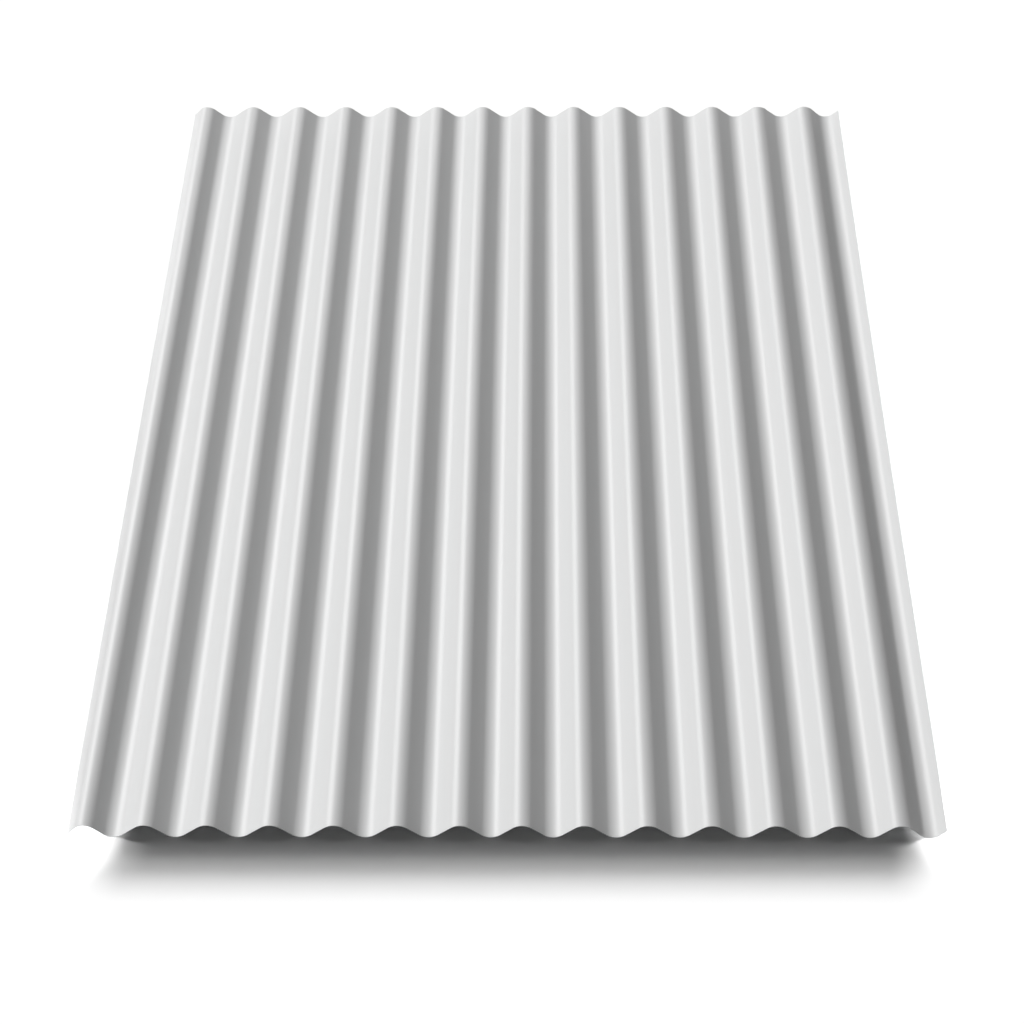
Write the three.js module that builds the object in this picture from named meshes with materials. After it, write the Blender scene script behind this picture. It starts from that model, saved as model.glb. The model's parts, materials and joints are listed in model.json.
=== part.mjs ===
// Corrugated steel sheet: one roll-formed piece of painted sheet steel, lying on its valleys.
// Millimetres. X runs across the waves, Y along them, and +Z is up.
// The origin is under the middle of the sheet, in the plane that its valleys rest on.
import * as THREE from "three";

// Stock
const SHEET_LENGTH = 1800;
const SHEET_THICKNESS = 0.5;

// Waves: equal round crests and valleys, joined by straight flanks that are tangent to both.
// Radii and heights of bends are those of the middle of the steel's thickness.
const WAVE_COUNT = 14;
const WAVE_PITCH = 76;
const WAVE_DEPTH = 18; // crest to valley, measured on one face
const BEND_RADIUS = 20;
const SHORTEST_FLANK = 2;

// Left edge: past its last crest the steel turns down more tightly, into a short lap lip
const LIP_BEND_RADIUS = 16;
const LIP_ANGLE = THREE.MathUtils.degToRad(52); // below the horizontal
const LIP_LIFT = 4.4; // from the valleys up to the lip's edge

// An odd number leaves a level facet in the middle of each crest and valley
const BEND_FACETS = 15;

const SHEET_COLOUR = 0xe3e5e4;

// A quarter wave runs from a crest's top to the middle of the flank beside it
const QUARTER_ACROSS = WAVE_PITCH / 4;
const QUARTER_DROP = WAVE_DEPTH / 2;

// The bends are as round as asked, but still leave a straight flank between them
const ROUNDEST_BEND =
  (QUARTER_ACROSS ** 2 + QUARTER_DROP ** 2 - (SHORTEST_FLANK / 2) ** 2) / (2 * QUARTER_DROP);
const WAVE_RADIUS = Math.min(BEND_RADIUS, ROUNDEST_BEND);

// The flank's slope, as the tangent from the middle of the flank to the crest's circle
const CENTRE_DROP = WAVE_RADIUS - QUARTER_DROP;
const FLANK_ANGLE =
  Math.asin(WAVE_RADIUS / Math.hypot(QUARTER_ACROSS, CENTRE_DROP)) - Math.atan2(CENTRE_DROP, QUARTER_ACROSS);

// Tops and bottoms at the middle of the thickness, with the crests at X = 0, WAVE_PITCH, ...
const crestTop = (wave) => new THREE.Vector2(wave * WAVE_PITCH, WAVE_DEPTH);
const valleyBottom = (wave) => new THREE.Vector2((wave + 0.5) * WAVE_PITCH, 0);

// A crest's bend on one face of the steel, as points from left to right, between the slopes of its
// two sides. `offset` is the height of that face above the middle of the thickness.
function crestBend(wave, offset, radius = WAVE_RADIUS, leftAngle = FLANK_ANGLE, rightAngle = FLANK_ANGLE) {
  const { x, y } = crestTop(wave);
  const face = radius + offset;
  const [start, end] = [Math.PI / 2 + leftAngle, Math.PI / 2 - rightAngle];
  return new THREE.EllipseCurve(x, y - radius, face, face, start, end, true).getPoints(BEND_FACETS);
}

// A valley is the same bend turned over
function valleyBend(wave, offset) {
  const { x, y } = valleyBottom(wave);
  const face = WAVE_RADIUS - offset;
  const [start, end] = [-Math.PI / 2 - FLANK_ANGLE, -Math.PI / 2 + FLANK_ANGLE];
  return new THREE.EllipseCurve(x, y + WAVE_RADIUS, face, face, start, end, false).getPoints(BEND_FACETS);
}

// The end of a face at a sheared edge, which is square to the steel. `slope` is how steeply the
// steel rises to the right there.
function edgePoint(middle, slope, offset) {
  return new THREE.Vector2(middle.x - offset * Math.sin(slope), middle.y + offset * Math.cos(slope));
}

// The lip's edge lies LIP_LIFT above the valleys, at the end of a straight run from the lip's bend
function lipEdge(offset) {
  const bendDrop = LIP_BEND_RADIUS * (1 - Math.cos(LIP_ANGLE));
  const straightDrop = WAVE_DEPTH - LIP_LIFT - bendDrop;
  const reach = LIP_BEND_RADIUS * Math.sin(LIP_ANGLE) + straightDrop / Math.tan(LIP_ANGLE);
  return edgePoint(new THREE.Vector2(-reach, LIP_LIFT), LIP_ANGLE, offset);
}

// The right edge is sheared half way up the flank after the last valley, where a crest would start
function rightEdge(offset) {
  const middle = valleyBottom(WAVE_COUNT - 1).add(new THREE.Vector2(QUARTER_ACROSS, QUARTER_DROP));
  return edgePoint(middle, FLANK_ANGLE, offset);
}

// One face of the steel, from the left edge to the right edge
function faceLine(offset) {
  const lipBend = crestBend(0, offset, LIP_BEND_RADIUS, LIP_ANGLE, 0);
  const firstCrest = crestBend(0, offset, WAVE_RADIUS, 0, FLANK_ANGLE).slice(1);
  const line = [lipEdge(offset), ...lipBend, ...firstCrest, ...valleyBend(0, offset)];
  for (let wave = 1; wave < WAVE_COUNT; wave += 1) {
    line.push(...crestBend(wave, offset), ...valleyBend(wave, offset));
  }
  line.push(rightEdge(offset));
  return line;
}

// The whole section: along the underside, and back along the upper face
function sheetSection() {
  const underside = faceLine(-SHEET_THICKNESS / 2);
  const upperFace = faceLine(SHEET_THICKNESS / 2);
  return new THREE.Shape([...underside, ...upperFace.reverse()]);
}

function corrugatedSheet() {
  const geometry = new THREE.ExtrudeGeometry(sheetSection(), { depth: SHEET_LENGTH, bevelEnabled: false });
  geometry.rotateX(Math.PI / 2);
  geometry.center();
  geometry.translate(0, 0, -geometry.boundingBox.min.z);

  const material = new THREE.MeshStandardMaterial({ color: SHEET_COLOUR, roughness: 0.45, metalness: 0 });
  const sheet = new THREE.Mesh(geometry, material);
  sheet.name = "corrugated_sheet";
  return sheet;
}

const part = new THREE.Group();
part.add(corrugatedSheet());

export default part;
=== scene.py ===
"""Corrugated steel sheet: its painted faces, its cut edges, and a plain studio round it."""

import json
import math
from typing import NamedTuple

import bpy
import numpy as np
from bpy.props import FloatProperty, FloatVectorProperty, IntProperty, PointerProperty
from mathutils import Matrix, Vector

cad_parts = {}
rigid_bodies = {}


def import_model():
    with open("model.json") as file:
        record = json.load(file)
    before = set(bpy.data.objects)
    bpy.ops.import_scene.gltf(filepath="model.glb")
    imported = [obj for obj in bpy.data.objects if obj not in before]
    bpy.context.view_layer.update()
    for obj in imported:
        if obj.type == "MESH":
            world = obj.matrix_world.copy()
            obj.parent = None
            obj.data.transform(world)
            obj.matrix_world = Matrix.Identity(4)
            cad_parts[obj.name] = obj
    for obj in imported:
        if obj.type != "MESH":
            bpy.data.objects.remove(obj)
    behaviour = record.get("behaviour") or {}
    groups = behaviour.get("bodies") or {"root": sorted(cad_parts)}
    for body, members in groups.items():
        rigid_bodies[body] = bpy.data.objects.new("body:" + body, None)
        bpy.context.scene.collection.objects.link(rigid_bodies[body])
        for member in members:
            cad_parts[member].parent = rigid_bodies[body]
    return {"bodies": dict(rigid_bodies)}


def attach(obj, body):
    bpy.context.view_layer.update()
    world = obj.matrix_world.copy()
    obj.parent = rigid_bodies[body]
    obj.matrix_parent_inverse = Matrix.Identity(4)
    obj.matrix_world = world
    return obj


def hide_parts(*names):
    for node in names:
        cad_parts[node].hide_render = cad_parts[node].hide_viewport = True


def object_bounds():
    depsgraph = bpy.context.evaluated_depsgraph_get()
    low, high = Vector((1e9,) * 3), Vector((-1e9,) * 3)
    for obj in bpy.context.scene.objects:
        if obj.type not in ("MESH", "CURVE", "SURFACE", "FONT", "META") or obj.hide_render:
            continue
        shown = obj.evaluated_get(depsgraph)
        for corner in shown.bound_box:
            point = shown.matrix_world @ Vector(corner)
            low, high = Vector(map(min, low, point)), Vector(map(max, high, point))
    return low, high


bl_info = {
    "name": "Corrugated Steel Sheet",
    "version": (1, 0, 0),
    "blender": (4, 5, 0),
    "location": "View3D > Sidebar > Sheet",
    "description": "Makes a roll-formed and painted corrugated steel sheet, and a plain studio round it",
    "category": "Add Mesh",
}

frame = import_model()
CAD_LOW, CAD_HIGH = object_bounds()
CAD_SIZE = CAD_HIGH - CAD_LOW
CAD_NODE = "corrugated_sheet"
BODY = next(iter(frame["bodies"]))

SHEET_NAME = "painted_corrugated_sheet"

MM = 0.001
MICRON = 0.001 * MM


def linear(hex_colour):
    """An sRGB hex value such as "#E1E2E2" as the linear colour that the shaders work in"""
    channels = [int(hex_colour[at : at + 2], 16) / 255 for at in (1, 3, 5)]
    return [c / 12.92 if c <= 0.04045 else ((c + 0.055) / 1.055) ** 2.4 for c in channels] + [1.0]


# ---------------------------------------------------------------------------------------------
# Settings
# ---------------------------------------------------------------------------------------------


def length_property(name, description, default):
    return FloatProperty(
        name=name,
        description=description,
        default=default,
        min=0.0,
        unit="LENGTH",
        precision=5,
    )


def angle_property(name, description, degrees):
    return FloatProperty(
        name=name,
        description=description,
        default=math.radians(degrees),
        subtype="ANGLE",
    )


def share_property(name, description, default):
    return FloatProperty(
        name=name,
        description=description,
        default=default,
        min=0.0,
        max=1.0,
        subtype="FACTOR",
    )


def colour_property(name, description, hex_colour):
    return FloatVectorProperty(
        name=name,
        description=description,
        default=linear(hex_colour),
        size=4,
        min=0.0,
        max=1.0,
        subtype="COLOR",
    )


class SheetSettings(bpy.types.PropertyGroup):
    """The sheet's sizes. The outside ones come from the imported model"""

    width: length_property("Width", "Across the waves", CAD_SIZE.x)
    length: length_property("Length", "Along the waves", CAD_SIZE.y)
    height: length_property("Height", "From the valleys' underside to the crests' top", CAD_SIZE.z)
    thickness: length_property("Thickness", "Steel, zinc and paint together", 0.5 * MM)
    wave_count: IntProperty(name="Waves", description="Crests across the sheet", default=14, min=2)
    wave_pitch: length_property("Wave pitch", "From one crest to the next", 76 * MM)
    bend_radius: length_property("Bend radius", "Of crests and valleys, at mid-thickness", 20 * MM)
    first_fall_angle: angle_property("First fall angle", "How steeply the first crest falls away", 38)
    last_fall_angle: angle_property("Last fall angle", "How steeply the last crest falls away", 41)
    plain_edge_angle: angle_property("Plain edge angle", "How steeply the right edge rises", 38)
    lip_bend_radius: length_property("Lip bend radius", "Where the left edge turns down", 16 * MM)
    lip_angle: angle_property("Lip angle", "How steeply the left edge's lip falls", 46)
    lip_lift: length_property("Lip lift", "From the valleys up to the lip's edge", 4.4 * MM)
    shear_roll: length_property("Shear roll", "How far the ends' upper corner is rolled over", 0.08 * MM)
    stray: length_property("Stray", "The unit of the waves' sideways stray along the sheet", 1 * MM)
    edge_bow: length_property("Edge bow", "How far the right edge bows in at mid-length", 1.7 * MM)


class FinishSettings(bpy.types.PropertyGroup):
    """Colours and roughness of the coatings, and of the bare steel between them"""

    paint: colour_property("Paint", "Polyester top coat", "#E2E3E3")
    paint_streak: colour_property("Paint streaks", "The top coat where it is a little thinner", "#E0E0E0")
    paint_roughness: share_property("Paint roughness", "Satin", 0.4)
    backer: colour_property("Backing coat", "Thin coat on the underside", "#CBCECE")
    backer_streak: colour_property("Backing streaks", "Where the zinc darkens the backing coat", "#C2C5C6")
    backer_roughness: share_property("Backing roughness", "Duller than the top coat", 0.5)
    burnished_steel: colour_property("Burnished edge", "Where the blade rubbed the steel", "#A9ABAC")
    burnished_roughness: share_property("Burnished roughness", "Rubbed nearly bright", 0.32)
    torn_steel: colour_property("Torn edge", "Where the steel broke away under the blade", "#85888A")
    torn_roughness: share_property("Torn roughness", "Grainy and dull", 0.6)


class StageSettings(bpy.types.PropertyGroup):
    """Camera, floor and lip card"""

    frame_width: FloatProperty(
        name="Frame width",
        description="Of the camera, in millimetres",
        default=36.0,
        min=1.0,
    )
    focal_length: FloatProperty(
        name="Focal length",
        description="Of the camera's lens, in millimetres",
        default=114.98,
        min=1.0,
    )
    camera_place: FloatVectorProperty(
        name="Camera",
        description="Where the camera stands",
        default=(0.0424, -3.886, 2.6243),
        unit="LENGTH",
    )
    camera_pitch: angle_property("Pitch", "How far down the camera looks", 35.625)
    camera_yaw: angle_property("Yaw", "How far left the camera looks", 0.641)
    camera_roll: angle_property("Roll", "How far the camera leans", -0.347)
    floor_size: length_property("Floor size", "Side of the square floor", 30.0)
    floor: colour_property("Floor", "Matt white floor", "#FAFAFA")
    lip_card: colour_property("Lip card", "Pale grey card beside the lip", "#CCCCCC")


# ---------------------------------------------------------------------------------------------
# Finishes
# ---------------------------------------------------------------------------------------------


def socket(sockets, identifier):
    """The socket with that identifier, which unlike a name is the only one on its node"""
    return next(each for each in sockets if each.identifier == identifier)


def add_node(tree, kind, settings=None, inputs=None):
    """Adds a node, sets its properties, and fills its inputs with values or with other nodes' outputs"""
    node = tree.nodes.new(kind)
    for name, value in (settings or {}).items():
        setattr(node, name, value)
    for name, value in (inputs or {}).items():
        if isinstance(value, bpy.types.NodeSocket):
            tree.links.new(value, socket(node.inputs, name))
        else:
            socket(node.inputs, name).default_value = value
    return node


def new_material(name):
    """A material with an empty node tree, and that tree"""
    material = bpy.data.materials.new(name)
    material.use_nodes = True
    material.node_tree.nodes.clear()
    return material, material.node_tree


# Streaks that the coating rollers leave along the strip
STREAK_WIDTH, STREAK_LENGTH = 9 * MM, 1500 * MM
# How much rougher or smoother the paint is from streak to streak
ROUGHNESS_SPREAD = 0.03
# Lines that the forming rolls press along the sheet. They are really shallower.
ROLL_LINE_WIDTH, ROLL_LINE_LENGTH, ROLL_LINE_DEPTH = 5 * MM, 900 * MM, 12 * MICRON
# Orange peel of baked coil paint. It is really half as wide and half as deep.
PEEL_WIDTH, PEEL_DEPTH = 2 * MM, 4 * MICRON
PAINT_IOR = 1.5


def coil_paint(name, colour, streak_colour, roughness):
    """Polyester paint, rolled on to flat galvanised strip and baked before the waves are formed.
    It gives the eye an even satin skin with a soft highlight along each bend. Faint streaks and
    roll lines run the length of the sheet, and a fine orange peel breaks up the gloss close to."""
    material, tree = new_material(name)
    place = add_node(tree, "ShaderNodeTexCoord").outputs["Object"]

    def along_sheet(width, length):
        """Noise drawn out along the sheet"""
        drawn_out = {"Vector": place, "Scale": (1 / width, 1 / length, 1 / width)}
        vector = add_node(tree, "ShaderNodeMapping", None, drawn_out).outputs["Vector"]
        return add_node(tree, "ShaderNodeTexNoise", None, {"Vector": vector, "Scale": 1.0}).outputs["Fac"]

    streaks = along_sheet(STREAK_WIDTH, STREAK_LENGTH)
    tone = add_node(
        tree,
        "ShaderNodeMix",
        {"data_type": "RGBA"},
        {"Factor_Float": streaks, "A_Color": streak_colour, "B_Color": colour},
    )
    gloss = add_node(
        tree,
        "ShaderNodeMapRange",
        None,
        {"Value": streaks, "To Min": roughness - ROUGHNESS_SPREAD, "To Max": roughness + ROUGHNESS_SPREAD},
    )
    roll_lines = add_node(
        tree,
        "ShaderNodeBump",
        None,
        {"Height": along_sheet(ROLL_LINE_WIDTH, ROLL_LINE_LENGTH), "Distance": ROLL_LINE_DEPTH},
    )
    peel = add_node(
        tree,
        "ShaderNodeTexNoise",
        None,
        {"Vector": place, "Scale": 1 / PEEL_WIDTH, "Detail": 1.0},
    )
    skin = add_node(
        tree,
        "ShaderNodeBump",
        None,
        {"Height": peel.outputs["Fac"], "Distance": PEEL_DEPTH, "Normal": roll_lines.outputs["Normal"]},
    )
    surface = add_node(
        tree,
        "ShaderNodeBsdfPrincipled",
        None,
        {
            "Base Color": socket(tone.outputs, "Result_Color"),
            "Roughness": gloss.outputs["Result"],
            "IOR": PAINT_IOR,
            "Normal": skin.outputs["Normal"],
        },
    )
    add_node(tree, "ShaderNodeOutputMaterial", None, {"Surface": surface.outputs["BSDF"]})
    return material


# Scoring that the blade leaves down through the thickness. It is really finer.
SCORE_WIDTH, SCORE_LENGTH, SCORE_DEPTH = 0.15 * MM, 2 * MM, 6 * MICRON


def cut_steel(name, colour, roughness):
    """Galvanised steel cut cold by a guillotine or a slitter. It gives the eye a thin dull line of
    bare grey metal with fine scoring, between the two coats of paint."""
    material, tree = new_material(name)
    place = add_node(tree, "ShaderNodeTexCoord").outputs["Object"]
    drawn_out = {"Vector": place, "Scale": (1 / SCORE_WIDTH, 1 / SCORE_WIDTH, 1 / SCORE_LENGTH)}
    vector = add_node(tree, "ShaderNodeMapping", None, drawn_out).outputs["Vector"]
    scores = add_node(tree, "ShaderNodeTexNoise", None, {"Vector": vector, "Scale": 1.0})
    relief = add_node(
        tree,
        "ShaderNodeBump",
        None,
        {"Height": scores.outputs["Fac"], "Distance": SCORE_DEPTH},
    )
    surface = add_node(
        tree,
        "ShaderNodeBsdfPrincipled",
        None,
        {
            "Base Color": colour,
            "Metallic": 1.0,
            "Roughness": roughness,
            "Normal": relief.outputs["Normal"],
        },
    )
    add_node(tree, "ShaderNodeOutputMaterial", None, {"Surface": surface.outputs["BSDF"]})
    return material


def matt_board(name, colour):
    """Matt emulsion paint, rolled on to board. It gives the eye nothing but its own even tone."""
    material, tree = new_material(name)
    surface = add_node(tree, "ShaderNodeBsdfDiffuse", None, {"Color": colour})
    add_node(tree, "ShaderNodeOutputMaterial", None, {"Surface": surface.outputs["BSDF"]})
    return material


# ---------------------------------------------------------------------------------------------
# The sheet
# ---------------------------------------------------------------------------------------------

BEND_STEPS = 24
FLANK_STEPS = 4
PLAIN_EDGE_STEPS = 2
LENGTH_STEPS = 18
ROLL_STEPS = 3

# Rows of points this far inside the ends' rolled corners keep the shading straight all along
END_MARGIN = 1 * MM
# Edges that turn by more than this many degrees are shaded sharp
SHARP_EDGE = 40

# The blade rubs this much of the thickness bright before the steel tears. The tear runs in a little.
BURNISHED_SHARE = 0.4
TEAR_SET_BACK = 0.02 * MM

TOP_COAT, BACKING_COAT, BURNISHED, TORN = range(4)


class SteelLine:
    """The middle of the steel's thickness across the waves, drawn from left to right"""

    def __init__(self, across, height, slope):
        self.points = [(across, height, slope)]

    def straight(self, length, steps):
        across, height, slope = self.points[-1]
        for step in range(1, steps + 1):
            run = length * step / steps
            self.points.append((across + run * math.cos(slope), height + run * math.sin(slope), slope))

    def bend(self, radius, to_slope, steps):
        across, height, slope = self.points[-1]
        turn = math.copysign(radius, to_slope - slope)
        for step in range(1, steps + 1):
            now = slope + (to_slope - slope) * step / steps
            forward = turn * (math.sin(now) - math.sin(slope))
            upward = turn * (math.cos(slope) - math.cos(now))
            self.points.append((across + forward, height + upward, now))

    def face(self, offset):
        """The line moved by offset along its upward normal: places across the waves, and heights"""
        across, height, slope = np.array(self.points).T
        return across - offset * np.sin(slope), height + offset * np.cos(slope)


def sheet_line(sheet):
    """The section's middle line, from the lip's edge to the plain edge. The valleys are at height 0."""
    depth, radius = sheet.height - sheet.thickness, sheet.bend_radius
    quarter_across, centre_drop = sheet.wave_pitch / 4, radius - depth / 2
    centre_distance = math.hypot(quarter_across, centre_drop)
    inner_flank_angle = math.asin(radius / centre_distance) - math.atan2(centre_drop, quarter_across)

    def flat(drop, bent_radius, angle):
        """The straight steel left in a drop at that angle, beside bends whose radii add up to that"""
        return (drop - bent_radius * (1 - math.cos(angle))) / math.sin(angle)

    line = SteelLine(0.0, sheet.lip_lift, sheet.lip_angle)
    line.straight(flat(depth - sheet.lip_lift, sheet.lip_bend_radius, sheet.lip_angle), FLANK_STEPS)
    line.bend(sheet.lip_bend_radius, 0.0, BEND_STEPS)
    last = sheet.wave_count - 1
    outer_falls = {0: sheet.first_fall_angle, last: sheet.last_fall_angle}
    for wave in range(sheet.wave_count):
        fall = outer_falls.get(wave, inner_flank_angle)
        line.bend(radius, -fall, BEND_STEPS)
        line.straight(flat(depth, 2 * radius, fall), FLANK_STEPS)
        line.bend(radius, sheet.plain_edge_angle if wave == last else inner_flank_angle, BEND_STEPS)
        if wave < last:
            line.straight(flat(depth, 2 * radius, inner_flank_angle), FLANK_STEPS)

    # The steel's own thickness reaches out past the line at both edges
    overhang = sheet.thickness / 2 * (math.sin(sheet.lip_angle) + math.sin(sheet.plain_edge_angle))
    left_over = sheet.width - overhang - line.points[-1][0]
    line.straight(left_over / math.cos(sheet.plain_edge_angle), PLAIN_EDGE_STEPS)
    return line


def face_rows(sheet):
    """Where the section is repeated along the upper face and along the underside: pairs of place along
    the sheet and offset from mid-thickness. The shear draws the upper face down at both ends."""
    half, half_steel = sheet.length / 2, sheet.thickness / 2
    roll = sheet.shear_roll
    flat = half - 2 * roll
    turns = [math.pi / 2 * step / ROLL_STEPS for step in range(ROLL_STEPS + 1)]
    far_end = [
        (flat + 2 * roll * math.sin(turn), half_steel - roll * (1 - math.cos(turn)))
        for turn in turns
    ]
    near_end = [(-along, offset) for along, offset in reversed(far_end)]
    level = flat - END_MARGIN
    middle = [(along, half_steel) for along in np.linspace(-level, level, LENGTH_STEPS + 1)]
    top = [*near_end, *middle, *far_end]
    under = [(along * (1 - TEAR_SET_BACK / half), -half_steel) for along, _ in top]
    return top, under


# How the waves stray sideways, as sines with one, two, three and four half waves across the sheet.
# A sine's three numbers are its strength at mid-length, and its change and its bend along the sheet.
STRAY_SINES = (
    (-0.4, 0.6, 1.2),
    (0.9, 1.4, -0.8),
    (-0.1, 0.1, 0.6),
    (-0.3, 0.6, -0.6),
)
# The higher this power, the fewer waves bow in beside the right edge
BOW_POWER = 8


def stray(sheet, share_across, share_along):
    """How far the steel strays to the right there. Shares run from 0 to 1 across the sheet and from -1
    to 1 along it. The left edge and the ends of the right edge stay in place."""
    sines = sum(
        (strength + change * share_along + bend * share_along**2)
        * np.sin(half_waves * math.pi * share_across)
        for half_waves, (strength, change, bend) in enumerate(STRAY_SINES, start=1)
    )
    bow = (1 - share_along**2) * share_across**BOW_POWER
    return sheet.stray * sines - sheet.edge_bow * bow


def sheet_mesh(sheet):
    """A closed mesh. Rows of points go along the upper face, down the far end, back along the
    underside and up the near end, and the two long edges close it."""
    line = sheet_line(sheet)
    count = len(line.points)
    half, half_steel = sheet.length / 2, sheet.thickness / 2
    top, under = face_rows(sheet)
    burnish_end = half_steel - BURNISHED_SHARE * sheet.thickness
    rows = [*top, (half, burnish_end), *reversed(under), (-half, burnish_end)]
    row_finishes = [TOP_COAT] * (len(top) - 1) + [BURNISHED, TORN]
    row_finishes += [BACKING_COAT] * (len(under) - 1) + [TORN, BURNISHED]

    left = min(line.face(offset)[0].min() for offset in (half_steel, -half_steel))
    right = max(line.face(offset)[0].max() for offset in (half_steel, -half_steel))
    points = []
    for along, offset in rows:
        across, height = line.face(offset)
        strayed = stray(sheet, (across - left) / (right - left), along / half)
        across = across + strayed - (left + right) / 2
        points.append(np.stack([across, np.full(count, along), height + half_steel], axis=1))

    faces, finishes = [], []
    for row, finish in enumerate(row_finishes):
        this, after = row * count, (row + 1) % len(rows) * count
        for point in range(count - 1):
            faces.append((this + point, this + point + 1, after + point + 1, after + point))
            finishes.append(finish)

    # Each long edge is a strip between the two faces, with a triangle at each end
    far_burnish, near_burnish = len(top), len(rows) - 1
    strips = [
        (row, row + 1, near_burnish - row - 2, near_burnish - row - 1)
        for row in range(len(top) - 1)
    ]
    strips += [(far_burnish - 1, far_burnish, far_burnish + 1), (near_burnish - 1, near_burnish, 0)]
    for strip in strips:
        faces.append([row * count for row in strip])
        faces.append([row * count + count - 1 for row in reversed(strip)])
        finishes += [TORN, TORN]

    mesh = bpy.data.meshes.new(SHEET_NAME)
    mesh.from_pydata(np.concatenate(points).tolist(), [], faces)
    mesh.polygons.foreach_set("material_index", finishes)
    mesh.update()
    mesh.shade_smooth()
    mesh.set_sharp_from_angle(angle=math.radians(SHARP_EDGE))
    return mesh


class SHEET_OT_make_sheet(bpy.types.Operator):
    """Make the painted sheet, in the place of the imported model's plain one"""

    bl_idname = "sheet.make_sheet"
    bl_label = "Make Sheet"

    def execute(self, context):
        finish = context.scene.sheet_finish
        mesh = sheet_mesh(context.scene.sheet_sizes)
        top = (finish.paint, finish.paint_streak, finish.paint_roughness)
        backing = (finish.backer, finish.backer_streak, finish.backer_roughness)
        # In the order of TOP_COAT, BACKING_COAT, BURNISHED, TORN
        for material in (
            coil_paint("polyester_top_coat", *top),
            coil_paint("polyester_backing_coat", *backing),
            cut_steel("burnished_cut_steel", finish.burnished_steel, finish.burnished_roughness),
            cut_steel("torn_cut_steel", finish.torn_steel, finish.torn_roughness),
        ):
            mesh.materials.append(material)
        piece = bpy.data.objects.new(SHEET_NAME, mesh)
        context.scene.collection.objects.link(piece)
        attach(piece, BODY)
        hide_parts(CAD_NODE)
        return {"FINISHED"}


# ---------------------------------------------------------------------------------------------
# The studio
# ---------------------------------------------------------------------------------------------


class Lamp(NamedTuple):
    """Azimuth is from +Y towards -X, and the three angles are in degrees. The level is the share of
    its own colour that a surface square to the lamp shows, where the lamp is turned to."""

    azimuth: float
    elevation: float
    level: float
    distance: float = 9.0
    size: float = 1.0
    spread: float = 0.0
    turned_to: tuple = (0.0, 0.0, 0.0)


# Softboxes light the sheet alone. Two are to its left, and a weak low one behind it brings out
# the highlights along the bends.
SOFTBOXES = {
    "back_left_softbox": Lamp(28.7, 33.3, 0.363, distance=11.6, size=4.3),
    "front_left_softbox": Lamp(119.3, 36.4, 0.645, distance=9.5, size=0.5),
    "back_softbox": Lamp(1.0, 23.5, 0.072, distance=4.8, size=1.5),
}

# Suns light the floor alone. Those from behind draw the soft shadow in front of the sheet, one
# beyond another, and the fill keeps it from going black.
FLOOR_SUNS = {
    "low_sun": Lamp(-4.0, 50.0, 0.687, spread=12.0),
    "middle_sun": Lamp(8.0, 56.6, 0.381, spread=12.0),
    "high_sun": Lamp(-8.0, 63.2, 0.189, spread=12.0),
    "floor_fill": Lamp(180.0, 30.0, 0.055, spread=40.0),
}

# Narrow spots light the floor alone. They reach in from the front under the sheet's near corners,
# so that the steel stands out there against a white floor.
SPOT_ELEVATION, SPOT_LEVEL, SPOT_DISTANCE = 30.0, 2.1, 3.0
SPOT_SIZE, SPOT_BLEND = 0.04, 0.5


def corner_spot(azimuth, spread, turned_to):
    """Both spots are alike but for where they stand, how wide they are and where they are turned"""
    return Lamp(azimuth, SPOT_ELEVATION, SPOT_LEVEL, SPOT_DISTANCE, SPOT_SIZE, spread, turned_to)


CORNER_SPOTS = {
    "left_spot": corner_spot(175.0, spread=1.7, turned_to=(-0.511, -0.88, 0.0)),
    "right_spot": corner_spot(185.0, spread=1.5, turned_to=(0.531, -0.88, 0.0)),
}

# A card over the sheet, which only the suns' light meets, carries the shadow past the waves' own.
# These are its height, and how far its edges are inside the sheet's. At the far end they are level.
SHADOW_CARD_HEIGHT = 190 * MM
SHADOW_CARD_LEFT, SHADOW_CARD_RIGHT, SHADOW_CARD_NEAR = 62 * MM, 36 * MM, 72 * MM

# A grey card stands beside the lip, where only light that the sheet sends on meets it. The lip
# mirrors it and shows against the white floor. It is tallest near the camera and tapers away.
# Its near and far ends are places along the sheet, in metres.
LIP_CARD_GAP, LIP_CARD_HEIGHT = 14 * MM, 28 * MM
LIP_CARD_NEAR, LIP_CARD_FAR = -0.96, 0.4

# The world is white where it is seen or mirrored, and this strong as a light
WORLD_LIGHT = 0.039

# How far the camera sees, in metres
CAMERA_REACH = 100.0


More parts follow.
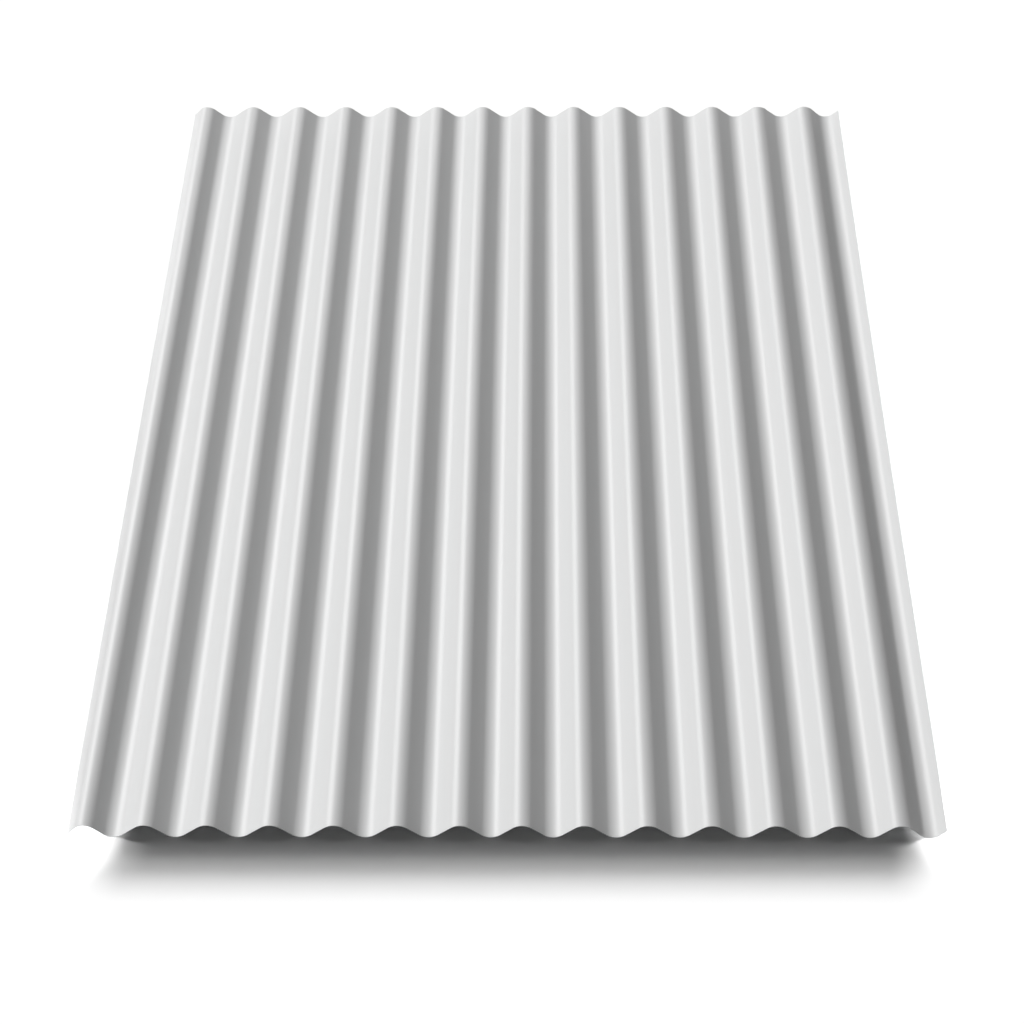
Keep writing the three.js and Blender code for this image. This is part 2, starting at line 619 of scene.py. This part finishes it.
class SHEET_OT_make_stage(bpy.types.Operator):
    """Make the floor, the lamps, the cards, the white world and the camera"""

    bl_idname = "sheet.make_stage"
    bl_label = "Make Stage"

    def execute(self, context):
        stage = context.scene.sheet_stage
        floor = self.make_floor(context, stage)
        only_sheet = self.lit_alone("lit_by_softboxes", context.scene.objects[SHEET_NAME])
        only_floor = self.lit_alone("lit_by_suns_and_spots", floor)
        self.make_softboxes(context, only_sheet)
        self.make_floor_suns(context, only_floor)
        self.make_corner_spots(context, only_floor)
        self.make_shadow_card(context)
        self.make_lip_card(context, stage)
        self.make_world(context)
        self.make_camera(context, stage)
        return {"FINISHED"}

    def add_board(self, context, name, corners):
        """A flat piece of the stage"""
        mesh = bpy.data.meshes.new(name)
        mesh.from_pydata(corners, [], [range(len(corners))])
        board = bpy.data.objects.new(name, mesh)
        context.scene.collection.objects.link(board)
        return board

    def make_floor(self, context, stage):
        half = stage.floor_size / 2
        corners = [(-half, -half, 0), (half, -half, 0), (half, half, 0), (-half, half, 0)]
        floor = self.add_board(context, "floor", corners)
        floor.data.materials.append(matt_board("matt_white_floor", stage.floor))
        return floor

    def lit_alone(self, name, piece):
        """A collection of that piece alone, for lamps that light nothing else"""
        collection = bpy.data.collections.new(name)
        collection.objects.link(piece)
        return collection

    def add_lamp(self, context, name, kind, lamp):
        """A lamp of that kind, in its place"""
        azimuth, elevation = math.radians(lamp.azimuth), math.radians(lamp.elevation)
        flat = math.cos(elevation)
        direction = Vector((-math.sin(azimuth) * flat, math.cos(azimuth) * flat, math.sin(elevation)))
        fitting = bpy.data.objects.new(name, bpy.data.lights.new(name, kind))
        fitting.location = Vector(lamp.turned_to) + direction * lamp.distance
        fitting.rotation_mode = "QUATERNION"
        fitting.rotation_quaternion = (-direction).to_track_quat("-Z", "Y")
        context.scene.collection.objects.link(fitting)
        return fitting

    def make_softboxes(self, context, only_sheet):
        for name, lamp in SOFTBOXES.items():
            fitting = self.add_lamp(context, name, "AREA", lamp)
            fitting.data.shape = "SQUARE"
            fitting.data.size = lamp.size
            fitting.data.energy = lamp.level * (math.pi * lamp.distance) ** 2
            fitting.light_linking.receiver_collection = only_sheet
            fitting.light_linking.blocker_collection = only_sheet

    def make_floor_suns(self, context, only_floor):
        for name, lamp in FLOOR_SUNS.items():
            fitting = self.add_lamp(context, name, "SUN", lamp)
            fitting.data.angle = math.radians(lamp.spread)
            fitting.data.energy = lamp.level * math.pi
            fitting.light_linking.receiver_collection = only_floor

    def make_corner_spots(self, context, only_floor):
        for name, lamp in CORNER_SPOTS.items():
            fitting = self.add_lamp(context, name, "SPOT", lamp)
            fitting.data.shadow_soft_size = lamp.size / 2
            fitting.data.spot_size = math.radians(lamp.spread)
            fitting.data.spot_blend = SPOT_BLEND
            fitting.data.energy = lamp.level * (2 * math.pi * lamp.distance) ** 2
            fitting.light_linking.receiver_collection = only_floor

    def make_shadow_card(self, context):
        left, right = CAD_LOW.x + SHADOW_CARD_LEFT, CAD_HIGH.x - SHADOW_CARD_RIGHT
        near, far = CAD_LOW.y + SHADOW_CARD_NEAR, CAD_HIGH.y
        outline = [(left, near), (right, near), (right, far), (left, far)]
        corners = [(*corner, SHADOW_CARD_HEIGHT) for corner in outline]
        card = self.add_board(context, "shadow_card", corners)
        for ray in ("camera", "diffuse", "glossy", "transmission", "volume_scatter"):
            setattr(card, f"visible_{ray}", False)

    def make_lip_card(self, context, stage):
        across = CAD_LOW.x - LIP_CARD_GAP
        outline = [(LIP_CARD_NEAR, 0), (LIP_CARD_FAR, 0), (LIP_CARD_NEAR, LIP_CARD_HEIGHT)]
        card = self.add_board(context, "lip_card", [(across, *corner) for corner in outline])
        card.data.materials.append(matt_board("matt_grey_card", stage.lip_card))
        for ray in ("camera", "transmission", "volume_scatter", "shadow"):
            setattr(card, f"visible_{ray}", False)

    def make_world(self, context):
        world = bpy.data.worlds.new("white_studio")
        context.scene.world = world
        world.use_nodes = True
        tree = world.node_tree
        tree.nodes.clear()
        path = add_node(tree, "ShaderNodeLightPath").outputs
        seen = path["Is Camera Ray"]
        for ray in ("Is Glossy Ray", "Is Transmission Ray"):
            either = {"Value": seen, "Value_001": path[ray]}
            seen = add_node(tree, "ShaderNodeMath", {"operation": "MAXIMUM"}, either).outputs["Value"]
        levels = {"Factor_Float": seen, "A_Float": WORLD_LIGHT, "B_Float": 1.0}
        strength = socket(add_node(tree, "ShaderNodeMix", None, levels).outputs, "Result_Float")
        light = {"Color": linear("#FFFFFF"), "Strength": strength}
        white = add_node(tree, "ShaderNodeBackground", None, light)
        add_node(tree, "ShaderNodeOutputWorld", None, {"Surface": white.outputs["Background"]})

    def make_camera(self, context, stage):
        lens = bpy.data.cameras.new("camera")
        lens.sensor_width = stage.frame_width
        lens.lens = stage.focal_length
        lens.clip_end = CAMERA_REACH
        camera = bpy.data.objects.new("camera", lens)
        camera.matrix_world = (
            Matrix.Translation(stage.camera_place)
            @ Matrix.Rotation(stage.camera_yaw, 4, "Z")
            @ Matrix.Rotation(math.pi / 2 - stage.camera_pitch, 4, "X")
            @ Matrix.Rotation(stage.camera_roll, 4, "Z")
        )
        context.scene.collection.objects.link(camera)
        context.scene.camera = camera
        context.scene.view_settings.view_transform = "Standard"


# ---------------------------------------------------------------------------------------------
# Panel and registration
# ---------------------------------------------------------------------------------------------


class SHEET_PT_panel(bpy.types.Panel):
    """The sheet's settings, and the operators that make it"""

    bl_idname = "SHEET_PT_panel"
    bl_label = "Corrugated Sheet"
    bl_space_type = "VIEW_3D"
    bl_region_type = "UI"
    bl_category = "Sheet"

    def draw(self, context):
        for group, settings in SETTINGS.items():
            box = self.layout.box()
            for name in settings.__annotations__:
                box.prop(getattr(context.scene, group), name)
        for operator in OPERATORS:
            self.layout.operator(operator.bl_idname)


SETTINGS = {
    "sheet_sizes": SheetSettings,
    "sheet_finish": FinishSettings,
    "sheet_stage": StageSettings,
}
OPERATORS = (SHEET_OT_make_sheet, SHEET_OT_make_stage)
CLASSES = (*SETTINGS.values(), *OPERATORS, SHEET_PT_panel)


def register():
    for each in CLASSES:
        bpy.utils.register_class(each)
    for group, settings in SETTINGS.items():
        setattr(bpy.types.Scene, group, PointerProperty(type=settings))


def unregister():
    for group in SETTINGS:
        delattr(bpy.types.Scene, group)
    for each in reversed(CLASSES):
        bpy.utils.unregister_class(each)


def main():
    register()
    bpy.ops.sheet.make_sheet()
    bpy.ops.sheet.make_stage()


if __name__ == "__main__":
    main()
